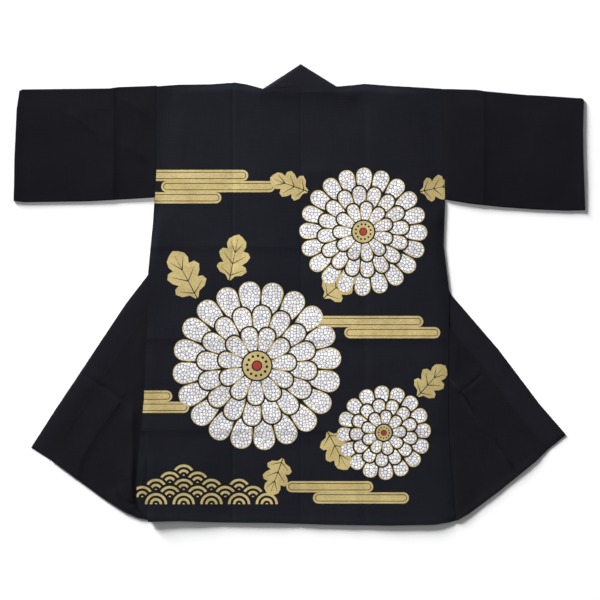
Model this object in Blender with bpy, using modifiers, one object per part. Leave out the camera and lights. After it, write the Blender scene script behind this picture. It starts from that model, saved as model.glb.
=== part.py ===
"""Happi coat lying face down on a flat surface, back upward, sleeves out to the sides.

Both fronts are folded along a slant from the neck to the foot of the side seam. The part beyond
the fold is turned outward, under the rest of the coat, so that it shows beside the body as a
flare with the collar band along its outer edge. From the surface upward the layers are the
turned part of a front with its collar band, the part of the front that stays under the back,
and the back.

The cut is written in two sizes, in millimetres. Out is the distance from the centre back seam,
to the left or to the right, and down is the distance below the shoulder line, towards the hem.
"""

import math
from collections import namedtuple

import bpy
from mathutils import Vector
from mathutils.geometry import delaunay_2d_cdt

# Frame, in millimetres: the origin is under the middle of the coat
CENTRE_SEAM_X = 3.0
SHOULDER_Y = 463.35
MM = 0.001

# Cloth, in millimetres
WALL = 1.0
COLLAR_WALL = 2.0
SEAM_GAP = 0.3
FOLD_GAP = 0.6
COLLAR_WIDTH = 51.5
SLEEVE_PUFF = 1.2
PUFF_REACH = 60.0
UNDERARM_CLEARANCE = 3.0

# How the upper layers come down beside a lower one, in millimetres
FOLD_CLEARANCE = 4.0
FOLD_FALL = 34.0
COLLAR_FALL = 35.0
FALL_STEPS = 3

# Mesh, in millimetres
EDGE_STEP = 60.0
FILL_STEP = 58.0
FILL_CLEARANCE = 16.0
MERGE = 0.02
NEAR = 0.05
BEND_STEPS = 4

Point = namedtuple("Point", "out down")
Crease = namedtuple("Crease", "line height half_width")
Half = namedtuple(
    "Half",
    "name sign neck_point shoulder armhole side_edge foot hem band hem_of_flap fold_head fold_foot "
    "sleeve_top cuff sleeve_bottom back_creases flap_creases sleeve_creases",
)


def points(*rows):
    """Names the two columns of a short table of places: out, down."""
    return [Point(*row) for row in rows]


# The coat's left half in the view from above
LEFT = Half(
    name="left",
    sign=-1,
    neck_point=Point(85, 2),
    shoulder=points((85, 2), (122, -8), (147, -12), (202, -8), (271, -7), (316, -4)),
    armhole=points((322, -3), (323, 188), (326, 246)),
    side_edge=points((327, 248), (331, 307), (342, 421), (344, 526), (351, 699), (361, 804), (367, 870)),
    foot=points((367, 920), (361, 941), (344, 962), (341, 971)),
    hem=points((270, 970), (170, 973), (69, 974), (0, 976)),
    band=points((0, -53.3), (85, 2), (342, 419), (392, 484), (499, 645), (553, 726), (603.5, 805)),
    hem_of_flap=points((571, 829), (504, 874), (437, 923), (396, 949), (365, 963)),
    fold_head=95.0,
    fold_foot=Point(329, 970),
    sleeve_top=points((322, -3), (409, 0), (427, 3), (539, 4), (624, 5)),
    cuff=points((630, 7), (636, 49), (641, 161), (642, 222), (643, 251)),
    sleeve_bottom=points((620, 254), (476, 252), (405, 248), (369, 246)),
    back_creases=[
        Crease(points((152, -11), (152, 974)), 1.2, 9),
        Crease(points((0, 766), (355, 766)), 0.7, 8),
        Crease(points((0, 562), (344, 562)), 0.7, 8),
        Crease(points((0, 356), (335, 356)), 0.6, 8),
    ],
    flap_creases=[
        Crease(points((395, 694), (491, 813), (497, 874)), 1.0, 8),
        Crease(points((436, 672), (395, 694)), 0.8, 8),
    ],
    sleeve_creases=[Crease(points((419, 2), (419, 249)), 1.2, 8)],
)

# The coat's right half in the view from above
RIGHT = Half(
    name="right",
    sign=1,
    neck_point=Point(81, -3),
    shoulder=points((81, -3), (117, -6), (144, -9), (195, -5), (267, -1), (316, 2)),
    armhole=points((317, 4), (318, 36), (322, 188), (323, 251)),
    side_edge=points((323, 253), (320, 352), (326, 403), (333, 459), (330, 650), (330, 766), (337, 856)),
    foot=points((339, 900), (343, 945), (348, 959), (340, 971)),
    hem=points((301, 978), (200, 980), (66, 978), (0, 976)),
    band=points((0, -53.3), (81, -3), (338, 464), (442, 585), (533, 706), (585, 766), (594, 777)),
    hem_of_flap=points((527, 836), (446, 902), (379, 952), (352, 968)),
    fold_head=135.0,
    fold_foot=Point(331, 972),
    sleeve_top=points((317, 4), (393, 6), (411, 9), (500, 17), (554, 20), (630, 25)),
    cuff=points((634, 27), (632, 94), (633, 161), (636, 242), (637, 272)),
    sleeve_bottom=points((594, 273), (523, 270), (451, 265), (379, 257)),
    back_creases=[
        Crease(points((144, -8), (144, 979)), 1.0, 7),
        Crease(points((0, 766), (330, 766)), 0.7, 8),
        Crease(points((0, 562), (331, 562)), 0.8, 8),
        Crease(points((0, 356), (320, 356)), 1.0, 9),
        Crease(points((16, 160), (88, 162)), 0.9, 8),
        Crease(points((222, 188), (249, 260), (285, 356)), 0.9, 11),
    ],
    flap_creases=[
        Crease(points((356, 694), (401, 757), (478, 851)), 1.0, 8),
        Crease(points((412, 632), (365, 677), (356, 694)), 0.8, 8),
    ],
    sleeve_creases=[Crease(points((412, 7), (412, 261)), 1.0, 6)],
)


def start_scene(collection_name):
    """Clears the scene's objects and returns the collection for the coat."""
    for old in list(bpy.data.objects):
        bpy.data.objects.remove(old, do_unlink=True)
    collection = bpy.data.collections.new(collection_name)
    bpy.context.scene.collection.children.link(collection)
    return collection


def cotton(name, colour, roughness):
    """Makes the material of one piece: dyed cotton, matt and without metal."""
    material = bpy.data.materials.new(name)
    material.use_nodes = True
    shader = material.node_tree.nodes["Principled BSDF"]
    shader.inputs["Base Color"].default_value = (*colour, 1.0)
    shader.inputs["Roughness"].default_value = roughness
    shader.inputs["Metallic"].default_value = 0.0
    return material


def to_plane(half, point):
    """Turns out and down into x and y, in millimetres."""
    return Vector((CENTRE_SEAM_X + half.sign * point[0], SHOULDER_Y - point[1]))


def line_on_plane(half, row):
    """Turns a row of places into points in x and y."""
    return [to_plane(half, point) for point in row]


def divided(line, step):
    """Splits each stretch of a line so that none is longer than step."""
    result = []
    for start, end in zip(line, line[1:]):
        count = max(1, math.ceil((end - start).length / step))
        result += [start.lerp(end, k / count) for k in range(count)]
    return result + [line[-1]]


def parallel(line, distance):
    """Moves a line sideways by distance, to its left when that is above zero, with mitred corners."""
    normals = []
    for start, end in zip(line, line[1:]):
        along = (end - start).normalized()
        normals.append(Vector((-along.y, along.x)))
    result = []
    for k, point in enumerate(line):
        before = normals[max(k - 1, 0)]
        after = normals[min(k, len(normals) - 1)]
        middle = (before + after).normalized()
        result.append(point + middle * (distance / middle.dot(after)))
    return result


def nearest_on_line(point, line):
    """Finds the point of a line that is nearest to point."""
    best = None
    for start, end in zip(line, line[1:]):
        along = end - start
        share = (point - start).dot(along) / along.length_squared
        foot = start + along * min(max(share, 0.0), 1.0)
        if best is None or (foot - point).length < (best - point).length:
            best = foot
    return best


def distance_to_line(point, line):
    """Measures how far a point is from a line."""
    return (nearest_on_line(point, line) - point).length


def inside(point, outline):
    """Says whether a point is within a closed outline."""
    crossings = 0
    for start, end in zip(outline, outline[1:] + outline[:1]):
        if (start.y > point.y) != (end.y > point.y):
            share = (point.y - start.y) / (end.y - start.y)
            crossings += point.x < start.x + share * (end.x - start.x)
    return crossings % 2 == 1


def anticlockwise(outline):
    """Turns a closed outline to run anticlockwise."""
    area = sum(start.cross(end) for start, end in zip(outline, outline[1:] + outline[:1]))
    return outline if area > 0 else list(reversed(outline))


def distance_to_region(point, outline):
    """Measures how far a point is outside an outline, and gives zero inside it or on it."""
    distance = distance_to_line(point, outline + outline[:1])
    return 0.0 if distance < NEAR or inside(point, outline) else distance


def fall(distance, reach):
    """Goes smoothly from one to zero as distance goes from zero to reach."""
    share = min(max(distance / reach, 0.0), 1.0)
    return 0.5 + 0.5 * math.cos(math.pi * share)


class Plan:
    """Flat triangles that several layers share, so that each layer follows the one below it."""

    def __init__(self, outlines, lines):
        """Joins closed outlines, by name, and open lines in one set of triangles."""
        self.outlines = outlines
        self.given = []
        edges, faces = [], []
        for outline in outlines.values():
            ring = anticlockwise(outline)
            faces.append([self.number(point) for point in divided(ring + ring[:1], EDGE_STEP)[:-1]])
        for line in lines:
            row = [self.number(point) for point in divided(line, EDGE_STEP)]
            edges += zip(row, row[1:])
        for point in self.fill_points(lines):
            self.number(point)
        result = delaunay_2d_cdt(self.given, edges, faces, 0, MERGE, True)
        self.corners, self.triangles, self.owners = result[0], result[2], result[5]

    def number(self, point):
        """Gives the number of the point already there, or adds it."""
        for k, known in enumerate(self.given):
            if (known - point).length < MERGE:
                return k
        self.given.append(point)
        return len(self.given) - 1

    def fill_points(self, lines):
        """Spreads points in rows over the outlines, clear of every line."""
        borders = [outline + outline[:1] for outline in self.outlines.values()]
        everything = [point for border in borders for point in border]
        low_x, high_x = min(p.x for p in everything), max(p.x for p in everything)
        low_y, high_y = min(p.y for p in everything), max(p.y for p in everything)
        result = []
        for row in range(int((high_y - low_y) / FILL_STEP) + 1):
            shift = FILL_STEP / 2 * (row % 2)
            for column in range(int((high_x - low_x) / FILL_STEP) + 1):
                point = Vector((low_x + shift + column * FILL_STEP, low_y + (row + 0.5) * FILL_STEP))
                if not any(inside(point, outline) for outline in self.outlines.values()):
                    continue
                if all(distance_to_line(point, line) > FILL_CLEARANCE for line in borders + lines):
                    result.append(point)
        return result

    def region(self, name):
        """Lists the triangles inside one outline, all of which face upward."""
        number = list(self.outlines).index(name)
        return [list(t) for t, owners in zip(self.triangles, self.owners) if number in owners]

    def chain(self, line):
        """Lists the corners that lie on a line, in its order."""
        found = []
        travelled = 0.0
        for start, end in zip(line, line[1:]):
            along = (end - start).normalized()
            for k, corner in enumerate(self.corners):
                if distance_to_line(corner, [start, end]) < NEAR:
                    found.append((travelled + (corner - start).dot(along), k))
            travelled += (end - start).length
        order = []
        for _, k in sorted(found):
            if k not in order:
                order.append(k)
        return order


def crease_lines(half, creases):
    """Gives the three lines that carry each crease: its ridge and its two feet."""
    lines = []
    for crease in creases:
        ridge = line_on_plane(half, crease.line)
        for distance in (-crease.half_width, 0, crease.half_width):
            lines.append(parallel(ridge, distance))
    return lines


def crease_height(half, creases, point):
    """Says how far the creases lift the cloth at a point."""
    height = 0.0
    for crease in creases:
        ridge = line_on_plane(half, crease.line)
        share = distance_to_line(point, ridge) / crease.half_width
        height = max(height, crease.height * (1.0 - min(share, 1.0)))
    return height


def make_shell(name, material, collection, corners, faces, wall, side):
    """Makes one closed piece of cloth from an open skin, in millimetres.

    The wall grows to the side that the faces look to when side is 1, and away from it when -1.
    """
    mesh = bpy.data.meshes.new(name)
    mesh.from_pydata([tuple(value * MM for value in corner) for corner in corners], [], faces)
    mesh.materials.append(material)
    piece = bpy.data.objects.new(name, mesh)
    collection.objects.link(piece)
    solidify = piece.modifiers.new("Wall", "SOLIDIFY")
    solidify.thickness = wall * MM
    solidify.offset = side
    solidify.use_even_offset = False
    solidify.use_rim = True
    return piece


def laid_piece(name, material, collection, plan, region, underside, wall, seam_shift):
    """Makes a piece that lies in one layer, with its wall above the given underside."""
    numbers, corners = {}, []
    faces = []
    for triangle in plan.region(region):
        for k in triangle:
            if k not in numbers:
                numbers[k] = len(corners)
                place = seam_shift(plan.corners[k])
                corners.append((place.x, place.y, underside(plan.corners[k])))
        faces.append([numbers[k] for k in triangle])
    return make_shell(name, material, collection, corners, faces, wall, 1)


def folded_piece(name, material, collection, plan, lower, upper, folds, heights, seam_shift):
    """Makes a piece of two layers joined by round folds, as an outer skin with its wall inside.

    Lower and upper name the two regions, folds are lines with the side to which each bulges, and
    heights are the two functions for the skin's height under and above.
    """
    numbers, corners, faces = {}, [], []
    under, above = heights

    def number(k, layer):
        key = (k, layer)
        if key not in numbers:
            place = seam_shift(plan.corners[k])
            height = under(plan.corners[k]) if layer == "lower" else above(plan.corners[k])
            numbers[key] = len(corners)
            corners.append((place.x, place.y, height))
        return numbers[key]

    for triangle in plan.region(lower):
        faces.append([number(k, "lower") for k in reversed(triangle)])
    for triangle in plan.region(upper):
        faces.append([number(k, "upper") for k in triangle])
    for line, bulge in folds:
        ribs = []
        for k in plan.chain(line):
            first, last = number(k, "lower"), number(k, "upper")
            foot, head = corners[first][2], corners[last][2]
            radius = (head - foot) / 2
            rib = [first]
            for step in range(1, BEND_STEPS):
                angle = math.pi * step / BEND_STEPS - math.pi / 2
                reach = radius * math.cos(angle)
                rib.append(len(corners))
                corners.append((
                    corners[first][0] + bulge.x * reach,
                    corners[first][1] + bulge.y * reach,
                    foot + radius + radius * math.sin(angle),
                ))
            ribs.append(rib + [last])
        for rib, following in zip(ribs, ribs[1:]):
            for step in range(BEND_STEPS):
                faces.append([rib[step], following[step], following[step + 1], rib[step + 1]])
    return make_shell(name, material, collection, corners, turned_alike(corners, faces), WALL, -1)


def turned_alike(corners, faces):
    """Turns the folds' faces to look the same way as the layers that they join."""
    owner = {}
    result = []
    for face in faces:
        steps = list(zip(face, face[1:] + face[:1]))
        if len(face) == 4 and any(step in owner for step in steps):
            face = list(reversed(face))
            steps = list(zip(face, face[1:] + face[:1]))
        for step in steps:
            owner[step] = face
        result.append(face)
    return result


class HalfCoat:
    """The outlines, layers and pieces of one half of the coat."""

    def __init__(self, half, collection, materials):
        """Works out the outlines of the half's regions in x and y."""
        self.half = half
        self.collection = collection
        self.materials = materials
        band = line_on_plane(half, half.band)
        seam = parallel(band, -half.sign * COLLAR_WIDTH)
        seam[0] = seam[0].lerp(seam[1], (band[0].x - seam[0].x) / (seam[1].x - seam[0].x))
        self.band_edge = band
        self.band_seam = seam
        self.seam_allowance = parallel(seam, -half.sign * SEAM_GAP)
        self.head = self.point_at_depth(seam[1:], half.fold_head)
        self.foot = to_plane(half, half.fold_foot)
        self.fold = [self.head, self.foot]
        side = line_on_plane(half, half.armhole + half.side_edge + half.foot)
        shoulder = line_on_plane(half, half.shoulder)
        hem = line_on_plane(half, half.hem)
        centre_top = to_plane(half, Point(0, -1))
        flap_hem = line_on_plane(half, half.hem_of_flap)
        self.back = [seam[0], centre_top] + shoulder + side + hem
        self.front = shoulder + side + [self.foot, self.head]
        self.collar = band + list(reversed(seam))
        below_head = [p for p in seam if p.y < self.head.y]
        self.flap = [self.head] + below_head + self.hem_after(seam[-1], flap_hem) + [self.foot]

    def point_at_depth(self, line, down):
        """Finds the point of a line at the given distance below the shoulder line."""
        level = SHOULDER_Y - down
        for start, end in zip(line, line[1:]):
            if end.y <= level <= start.y:
                return start.lerp(end, (start.y - level) / (start.y - end.y))
        return line[-1]

    def hem_after(self, corner, hem):
        """Keeps the points of the flap's hem that lie between the collar band and the fold."""
        outer = abs(corner.x - CENTRE_SEAM_X)
        return [point for point in hem if abs(point.x - CENTRE_SEAM_X) < outer]

    def make_plan(self):
        """Joins the half's outlines, its creases and the lines where upper layers come down."""
        half = self.half
        outlines = {
            "back": self.back, "front": self.front, "flap": self.flap, "collar": self.collar,
        }
        lines = crease_lines(half, half.back_creases) + crease_lines(half, half.flap_creases)
        reaches = [FOLD_CLEARANCE + FOLD_FALL * k / FALL_STEPS for k in range(FALL_STEPS + 1)]
        neck_and_fold = [to_plane(half, half.neck_point), self.head, self.foot]
        for reach in reaches:
            lines.append(parallel(neck_and_fold, -half.sign * reach))
        hidden_band = self.band_edge[1:3]
        for k in range(1, FALL_STEPS + 1):
            lines.append(parallel(hidden_band, COLLAR_FALL * k / FALL_STEPS * half.sign))
        self.plan = Plan(outlines, lines)

    def flap_under(self, point):
        """Height of the underside of the front's turned part, which the creases lift."""
        return crease_height(self.half, self.half.flap_creases, point)

    def front_under(self, point):
        """Height of the underside of the front where it lies under the back."""
        height = (COLLAR_WALL + SEAM_GAP) * fall(distance_to_region(point, self.collar), COLLAR_FALL)
        if distance_to_region(point, self.flap) == 0.0:
            height = max(height, self.flap_under(point) + WALL + FOLD_GAP)
        return height

    def front_above(self, point):
        """Height of the upper face of the front where it lies under the back."""
        return self.front_under(point) + WALL

    def back_under(self, point):
        """Height of the underside of the back, over whatever lies under it."""
        nearest = nearest_on_line(point, self.front + self.front[:1])
        distance = distance_to_region(point, self.front)
        over = point if distance == 0.0 else nearest
        height = (self.front_above(over) + SEAM_GAP) * fall(distance - FOLD_CLEARANCE, FOLD_FALL)
        collar = (COLLAR_WALL + SEAM_GAP) * fall(distance_to_region(point, self.collar), COLLAR_FALL)
        return max(height, collar) + crease_height(self.half, self.half.back_creases, point)

    def clear_of_centre(self, point):
        """Moves a point on the centre back seam by half a seam gap."""
        if abs(point.x - CENTRE_SEAM_X) < NEAR:
            return Vector((point.x + self.half.sign * SEAM_GAP / 2, point.y))
        return point

    def clear_of_collar(self, point):
        """Moves a point on the collar seam by half a seam gap, into the front."""
        if distance_to_line(point, self.band_seam) < NEAR:
            return nearest_on_line(point, self.seam_allowance)
        return point

    def make_back(self):
        """Makes the back panel, which lies over everything else."""
        laid_piece(
            "back_" + self.half.name, self.materials["back"], self.collection, self.plan, "back",
            self.back_under, WALL, self.clear_of_centre,
        )

    def make_front(self):
        """Makes the front panel, folded on the slant, with its free part turned outward."""
        along = (self.foot - self.head).normalized()
        bulge = Vector((along.y, -along.x)) * self.half.sign
        folded_piece(
            "front_" + self.half.name, self.materials["front"], self.collection, self.plan,
            "flap", "front", [(self.fold, bulge)], (self.flap_under, self.front_above),
            self.clear_of_collar,
        )

    def make_collar(self):
        """Makes this half of the collar band, from the centre back to the hem."""
        laid_piece(
            "collar_" + self.half.name, self.materials["collar"], self.collection, self.plan,
            "collar", lambda point: 0.0, COLLAR_WALL, self.clear_of_centre,
        )

    def make_sleeve(self):
        """Makes the sleeve, a flat tube folded at the top and closed by the underarm seam."""
        half = self.half
        top = line_on_plane(half, half.sleeve_top)
        cuff = line_on_plane(half, half.cuff)
        armhole = line_on_plane(half, half.armhole)
        up_the_armhole = (armhole[-2] - armhole[-1]).normalized()
        underarm = armhole[-1] + up_the_armhole * UNDERARM_CLEARANCE
        bottom = [cuff[-1]] + line_on_plane(half, half.sleeve_bottom) + [underarm]
        outline = top + cuff[:-1] + bottom + list(reversed(armhole))[1:-1]
        shift = Vector((half.sign * SEAM_GAP, 0.0))
        plan = Plan({"sleeve": outline}, crease_lines(half, half.sleeve_creases))

        def above(point):
            edge = min(distance_to_line(point, top), distance_to_line(point, bottom))
            puff = SLEEVE_PUFF * (1.0 - fall(edge, PUFF_REACH))
            crease = crease_height(half, half.sleeve_creases, point) * min(edge / FILL_CLEARANCE, 1.0)
            return 2 * WALL + FOLD_GAP + puff + crease

        def clear_of_body(point):
            return point + shift if distance_to_line(point, armhole) < NEAR else point

        upward, downward = Vector((0.0, 1.0)), Vector((0.0, -1.0))
        folded_piece(
            "sleeve_" + half.name, self.materials["sleeve"], self.collection, plan,
            "sleeve", "sleeve", [(top, upward), (bottom, downward)], (lambda point: 0.0, above),
            clear_of_body,
        )


def main():
    """Makes the eight cut pieces of the coat."""
    collection = start_scene("happi_coat")
    materials = {
        "back": cotton("black_cotton_back", (0.015, 0.015, 0.021), 0.85),
        "front": cotton("black_cotton_front", (0.011, 0.011, 0.014), 0.85),
        "sleeve": cotton("black_cotton_sleeve", (0.011, 0.011, 0.014), 0.85),
        "collar": cotton("black_cotton_collar", (0.010, 0.010, 0.013), 0.82),
    }
    for half in (LEFT, RIGHT):
        coat = HalfCoat(half, collection, materials)
        coat.make_plan()
        coat.make_back()
        coat.make_front()
        coat.make_collar()
        coat.make_sleeve()


main()
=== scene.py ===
"""Looks of a happi coat that lies face down, back upward, with both fronts turned out under it.

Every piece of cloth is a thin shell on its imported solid: the outline and the heights of the layers
are read from the solid, and the creases, hems, seams and the slack of the cloth are laid on top.
The printed back is made of faces of the cloth itself, cut along the edges of the printed shapes.

Lengths are in millimetres until a mesh is made. A place on the coat is written as across and down:
the distance from the centre back seam, to the right above zero, and the distance below the
shoulder line, towards the hem.
"""

import logging
import math
from dataclasses import dataclass, field
from enum import Enum

import bmesh
import bpy
import numpy as np
from bpy.types import ID, Material, Mesh, Node, NodeSocket, NodeTree, Object
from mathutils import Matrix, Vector
from mathutils.bvhtree import BVHTree
from mathutils.geometry import delaunay_2d_cdt
from mathutils.kdtree import KDTree


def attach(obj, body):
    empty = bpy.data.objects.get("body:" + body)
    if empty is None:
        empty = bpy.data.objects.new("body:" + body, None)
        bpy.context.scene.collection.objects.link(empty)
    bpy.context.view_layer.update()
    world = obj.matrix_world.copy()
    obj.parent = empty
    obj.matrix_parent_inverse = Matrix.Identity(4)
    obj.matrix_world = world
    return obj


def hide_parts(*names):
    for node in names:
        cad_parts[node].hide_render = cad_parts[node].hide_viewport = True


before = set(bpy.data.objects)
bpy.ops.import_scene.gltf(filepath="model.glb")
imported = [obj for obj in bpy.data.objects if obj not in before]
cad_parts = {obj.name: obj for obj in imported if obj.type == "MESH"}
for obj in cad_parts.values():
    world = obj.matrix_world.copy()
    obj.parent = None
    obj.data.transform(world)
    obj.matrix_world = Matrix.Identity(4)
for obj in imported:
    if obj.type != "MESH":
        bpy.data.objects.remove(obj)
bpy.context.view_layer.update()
LOG = logging.getLogger("happi_coat")

MM = 0.001
ARMHOLE_FOOT_Y = 203.0
CENTRE_SEAM_X = 3.0
SHOULDER_Y = 463.35

# Cloth
WALL = 0.55
COLLAR_WALL = 0.88
SOLID_WALL = 1.0
SETTLE = 0.55
SLACK_MARGIN = 45.0
HEM_DEPTH = 13.0
HEM_RISE = 0.22
HEM_STEP = 1.6
STITCH_DEPTH = 11.4
STITCH_DIP = 0.22
STITCH_DIP_REACH = 1.1
HEM_CURL = 0.7
HEM_CURL_REACH = 28.0
CREASE_POWER = 1.25
CREASE_SPREAD = 3.2

# Mesh
FINE_STEP = 6.0
SCATTER = 0.12
SCATTER_SEED = 7
EDGE_STEP = 5.0
EDGE_RINGS = (0.5, 1.4, 3.2)
EDGE_CLEARANCE = 3.5
POINT_CLEARANCE = 0.45
PRINT_CLEARANCE = 1.7
CREST_STEP = 4.5
CREST_OFFSETS = (-6.5, -2.6, 0.0, 2.6, 6.5)
CREST_CLEARANCE = 1.5
RIM_SHARE = 0.9
SEAM_TAKE = 0.2
SHARPEST_CORNER = 0.5
WHOLE_LAYER = 0.4
SNAP = 0.05
BEND_STEPS = 6
FIELD_STEP = 6.0
UPWARD = 0.6
SHARP_ANGLE = 55

Places = tuple[tuple[float, float], ...]
Rows = np.ndarray


class Side(Enum):
    """Which half of the coat, as seen from above."""

    LEFT = -1
    RIGHT = 1

    @property
    def word(self) -> str:
        """The half's name in the names of nodes and pieces."""
        return self.name.lower()


class Ink(Enum):
    """What a face of the printed back shows."""

    CLOTH = 0
    WHITE = 1
    GOLD = 2
    RED = 3


class Fold(Enum):
    """Whether a crease stands up from the cloth or lies between two raised shoulders."""

    RIDGE = "ridge"
    VALLEY = "valley"


def on_plane(places: Places | Rows) -> Rows:
    """Turns rows of across and down into rows of x and y."""
    rows = np.array(places, dtype=float)
    return np.column_stack((CENTRE_SEAM_X + rows[:, 0], SHOULDER_Y - rows[:, 1]))


def turned(rows: Rows, angle: float, foot: tuple[float, float]) -> Rows:
    """Turns rows of along and aside into x and y.

    Args:
        rows: Rows of along and aside.
        angle: The direction of along, in radians.
        foot: The place where along starts, as across and down.
    Returns:
        An array of x and y.
    """
    turn = np.array(((math.cos(angle), math.sin(angle)), (-math.sin(angle), math.cos(angle))))
    return rows @ turn + on_plane((foot,))


def divided(line: Rows, step: float) -> Rows:
    """Splits each stretch of a line evenly.

    Args:
        line: The corners of an open line.
        step: The longest stretch that may stay.
    Returns:
        The corners and the points between them.
    """
    rows = []
    for start, end in zip(line, line[1:]):
        count = max(1, math.ceil(math.dist(start, end) / step))
        shares = np.arange(count)[:, None] / count
        rows.append(start + (end - start) * shares)
    return np.vstack([*rows, line[-1:]])


def ring(outline: Rows) -> Rows:
    """Closes an outline by repeating its first corner."""
    return np.vstack([outline, outline[:1]])


def left_hand(step: Rows) -> Rows:
    """Turns the steps of a line into unit steps towards its left hand."""
    length = np.maximum(np.hypot(step[:, 0], step[:, 1]), 1e-9)
    return np.column_stack((-step[:, 1], step[:, 0])) / length[:, None]


def measured(points: Rows, line: Rows) -> tuple[Rows, Rows, Rows]:
    """Measures points against an open line.

    Args:
        points: Rows of x and y.
        line: The line's corners.
    Returns:
        Each point's distance from the line, its signed side (above zero on the left hand), and
        how far along the line its nearest place is.
    """
    distance = np.full(len(points), np.inf)
    side = np.zeros(len(points))
    along = np.zeros(len(points))
    travelled = 0.0
    for start, end in zip(line, line[1:]):
        step = end - start
        length = math.hypot(*step)
        if length == 0.0:
            continue
        away = points - start
        share = np.clip(away @ step / length**2, 0.0, 1.0)
        off = away - share[:, None] * step
        here = np.hypot(off[:, 0], off[:, 1])
        nearer = here < distance
        distance = np.where(nearer, here, distance)
        side = np.where(nearer, step[0] * away[:, 1] - step[1] * away[:, 0], side)
        along = np.where(nearer, travelled + share * length, along)
        travelled += length
    return distance, side, along


def nearest(points: Rows, edges: list[Rows]) -> Rows:
    """Gives each point's distance from the nearest of some lines."""
    return np.min([measured(points, edge)[0] for edge in edges], axis=0)


def in_order(outline: Rows, chosen: Rows, axis: int = 0) -> Rows:
    """Lists the chosen corners of an outline by their x, or by their y where axis is 1."""
    corners = outline[chosen]
    return corners[np.argsort(corners[:, axis])]


def inside(points: Rows, outline: Rows) -> Rows:
    """Says which points are within a closed outline."""
    crossings = np.zeros(len(points), dtype=int)
    for start, end in zip(outline, np.roll(outline, -1, axis=0)):
        if start[1] == end[1]:
            continue
        between = (start[1] > points[:, 1]) != (end[1] > points[:, 1])
        at = start[0] + (end[0] - start[0]) * (points[:, 1] - start[1]) / (end[1] - start[1])
        crossings += between & (points[:, 0] < at)
    return crossings % 2 == 1


def anticlockwise(outline: Rows) -> Rows:
    """Turns a closed outline to run anticlockwise."""
    after = np.roll(outline, -1, axis=0)
    area = np.sum(outline[:, 0] * after[:, 1] - outline[:, 1] * after[:, 0])
    return outline if area > 0 else outline[::-1]


def grown(outline: Rows, distance: float) -> Rows:
    """Moves an anticlockwise outline outward, so that pieces meet at their seams.

    Args:
        outline: The closed outline.
        distance: How far each edge moves.
    Returns:
        The larger outline.
    """
    after = -left_hand(np.roll(outline, -1, axis=0) - outline)
    middle = np.roll(after, 1, axis=0) + after
    middle /= np.maximum(np.hypot(middle[:, 0], middle[:, 1]), 1e-9)[:, None]
    reach = distance / np.maximum(np.sum(middle * after, axis=1), SHARPEST_CORNER)
    return outline + middle * reach[:, None]


def eased(share: Rows) -> Rows:
    """Goes smoothly from zero to one as share does."""
    share = np.clip(share, 0.0, 1.0)
    return share * share * (3.0 - 2.0 * share)


def wavering(along: Rows, depth: float, lengths: tuple[float, float],
             shifts: tuple[float, float]) -> Rows:
    """Makes a lift uneven along a line, as in cloth that was pressed by hand.

    Args:
        along: How far along the line each point is.
        depth: How far the share stands above and below its mean.
        lengths: The two wavelengths, each divided by a full turn.
        shifts: Where in its turn each wave starts.
    Returns:
        The share of the lift at each point, at most one.
    """
    first, second = (np.sin(along / length + shift) for length, shift in zip(lengths, shifts))
    return 1.0 - depth + depth * first * second


def wandering(points: Rows) -> Rows:
    """Moves points by up to a millimetre, so that no pressed line is dead straight."""
    x, y = points[:, 0], points[:, 1]
    return np.column_stack((
        x + 0.7 * np.sin(y / 83.0 + 1.3) + 0.3 * np.sin(y / 29.0),
        y + 0.7 * np.sin(x / 71.0 + 0.4) + 0.3 * np.sin(x / 31.0 + 2.0),
    ))


class Solid:
    """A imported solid, read as welded triangles."""

    def __init__(self, node: str) -> None:
        """Reads the node's mesh.

        Args:
            node: The node's name in model.glb.
        """
        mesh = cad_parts[node].data
        mesh.calc_loop_triangles()
        places = np.empty(len(mesh.vertices) * 3)
        mesh.vertices.foreach_get("co", places)
        numbers = np.empty(len(mesh.loop_triangles) * 3, dtype=np.int32)
        mesh.loop_triangles.foreach_get("vertices", numbers)
        welded, first = np.unique(
            np.round(places.reshape(-1, 3) / MM, 3), axis=0, return_inverse=True
        )
        self.corners = welded
        self.triangles = first.reshape(-1)[numbers].reshape(-1, 3)

    def outline(self, top: bool = True) -> Rows:
        """Finds the edge of a layer's upper face.

        Args:
            top: True for the solid's uppermost layer, False for its lowest.
        Returns:
            The corners of the layer's closed outline, anticlockwise.
        """
        a, b, c = (self.corners[self.triangles[:, k]] for k in range(3))
        normals = np.cross(b - a, c - a)
        size = np.linalg.norm(normals, axis=1)
        upward = normals[:, 2] > UPWARD * np.maximum(size, 1e-9)
        steps = {
            (int(t[k]), int(t[(k + 1) % 3])) for t in self.triangles[upward] for k in range(3)
        }
        following: dict[int, list[int]] = {}
        for start, end in sorted(steps):
            if (end, start) not in steps:
                following.setdefault(start, []).append(end)
        loops = []
        while following:
            start = here = next(iter(following))
            loop = []
            while here in following:
                loop.append(here)
                after = following[here].pop()
                if not following[here]:
                    del following[here]
                here = after
                if here == start:
                    break
            loops.append(np.array(loop))
        longest = max(len(loop) for loop in loops)
        wide = [loop for loop in loops if len(loop) > longest * WHOLE_LAYER]
        chosen = sorted(wide, key=lambda loop: self.corners[loop][:, 2].mean())[-1 if top else 0]
        return grown(anticlockwise(self.straightened(self.corners[chosen][:, :2])), SEAM_TAKE)

    @staticmethod
    def straightened(loop: Rows) -> Rows:
        """Drops the corners of a closed loop that lie on the straight between their neighbours."""
        kept = list(loop)
        k = 0
        while k < len(kept):
            neighbours = np.array((kept[k - 1], kept[(k + 1) % len(kept)]))
            if measured(np.array([kept[k]]), neighbours)[0][0] < SNAP:
                kept.pop(k)
                k = max(k - 1, 0)
            else:
                k += 1
        return np.array(kept)


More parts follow.
